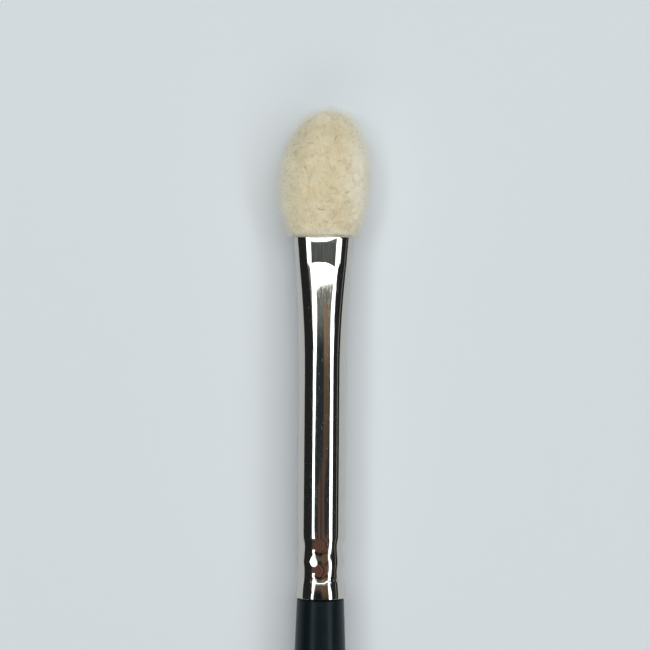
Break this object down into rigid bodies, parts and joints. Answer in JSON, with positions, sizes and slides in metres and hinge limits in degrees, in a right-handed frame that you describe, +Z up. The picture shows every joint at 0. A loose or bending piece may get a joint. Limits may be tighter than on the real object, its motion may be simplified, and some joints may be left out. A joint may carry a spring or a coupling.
{
  "type": "sponge applicator",
  "caption": "Fuzzy oval sponge tip held in a bright, crimped and flattened metal ferrule on a slim black turned handle, for patting powder onto the eyelid.",
  "frame": {"origin": "on the table that the tool lies on, under the middle of its length", "axes": "+Z up from the table, +Y along the tool from the handle's tail towards the sponge tip, +X across the broad side of the tip"},
  "size_m": [0.0094, 0.1684, 0.0066],
  "materials": {
    "black_lacquer": "matt black lacquer over hardwood",
    "nickel_plate": "bright nickel plate over drawn brass",
    "wood_glue": "set glue, yellowish",
    "clear_resin": "cast resin, honey-clear",
    "stem_plastic": "natural moulded plastic",
    "sponge_foam": "open-cell foam",
    "fleece_pile": "short cream fleece pile with ochre flecks"
  },
  "bodies": {
    "root": {"handle": "black_lacquer", "ferrule": "nickel_plate", "tenon_glue": "wood_glue", "adhesive_plug": "clear_resin", "core_stem": "stem_plastic", "sponge_core": "sponge_foam", "pile_cover": "fleece_pile"}
  },
  "joints": []
}
